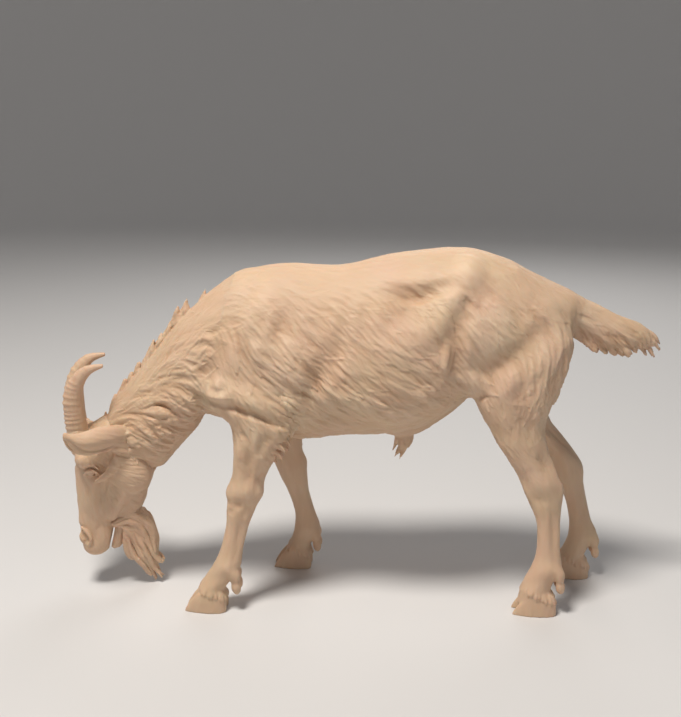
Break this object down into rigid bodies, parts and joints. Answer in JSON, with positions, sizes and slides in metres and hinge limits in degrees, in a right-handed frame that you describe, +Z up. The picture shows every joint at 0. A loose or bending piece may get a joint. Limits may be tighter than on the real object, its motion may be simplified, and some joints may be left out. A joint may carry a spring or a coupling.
{
  "type": "grazing goat figurine",
  "caption": "Miniature sculpture of a bearded billy goat walking with its head down to graze, in cast resin pieces pinned together.",
  "frame": {"origin": "on the ground under the middle of the figure", "axes": "+X towards the tail (the head looks towards -X), +Y towards the animal's right side, +Z up"},
  "size_m": [0.1534, 0.0342, 0.0933],
  "materials": {
    "resin": "unpainted warm beige casting resin, matt",
    "steel_wire": "drawn wire",
    "brass_pin": "drawn rod"
  },
  "bodies": {
    "root": {"torso": "resin", "neck": "resin", "head": "resin", "lower_jaw": "resin", "beard": "resin", "left_horn": "resin", "right_horn": "resin", "left_ear": "resin", "right_ear": "resin", "tail": "resin", "belly_tuft": "resin", "front_left_leg": "resin", "front_right_leg": "resin", "hind_left_leg": "resin", "hind_right_leg": "resin", "front_left_wire": "steel_wire", "front_right_wire": "steel_wire", "hind_left_wire": "steel_wire", "hind_right_wire": "steel_wire", "neck_dowels": "brass_pin", "head_dowel": "brass_pin", "horn_pins": "brass_pin", "tail_pin": "brass_pin"}
  },
  "joints": []
}
